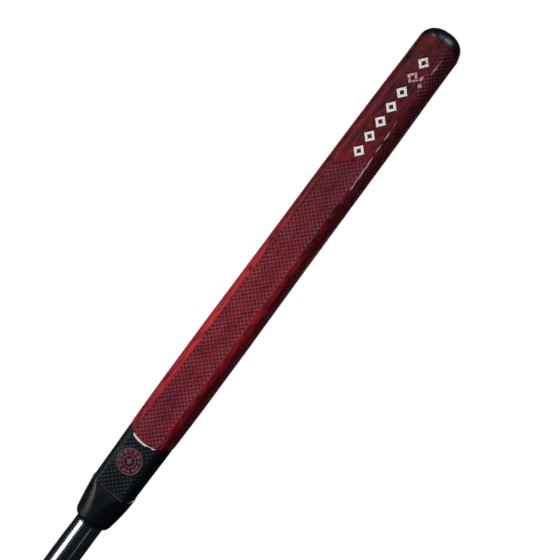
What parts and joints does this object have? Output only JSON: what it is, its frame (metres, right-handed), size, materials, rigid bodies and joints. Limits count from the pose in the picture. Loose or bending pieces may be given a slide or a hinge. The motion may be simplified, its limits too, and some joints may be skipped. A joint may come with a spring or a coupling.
{
  "type": "golf grip",
  "caption": "Pistol-shaped putter grip with a flat front, embossed two-tone wrap, tapered collar and domed cap, on the end of a stepped steel shaft.",
  "frame": {"origin": "centre of the shaft's cut end", "axes": "+Z along the shaft towards the grip's butt; the flat front faces -Y; +X to the right seen from the front"},
  "size_m": [0.0228, 0.0265, 0.3129],
  "materials": {
    "shaft_tube": "polished",
    "grip_tape": "matte",
    "core_sleeve": "matte",
    "mouth_collar": "satin",
    "butt_cap": "gloss",
    "upper_wrap": "satin, embossed with diamonds",
    "upper_backing": "felted",
    "lower_wrap": "satin, embossed with diamonds",
    "lower_backing": "felted",
    "back_seam": "satin",
    "badge_disc": "gloss",
    "front_marks": "satin paint"
  },
  "bodies": {
    "root": {"shaft_tube": "shaft_tube", "grip_tape": "grip_tape", "core_sleeve": "core_sleeve", "mouth_collar": "mouth_collar", "butt_cap": "butt_cap", "upper_wrap": "upper_wrap", "upper_backing": "upper_backing", "lower_wrap": "lower_wrap", "lower_backing": "lower_backing", "back_seam": "back_seam", "badge_disc": "badge_disc", "front_marks": "front_marks"}
  },
  "joints": []
}
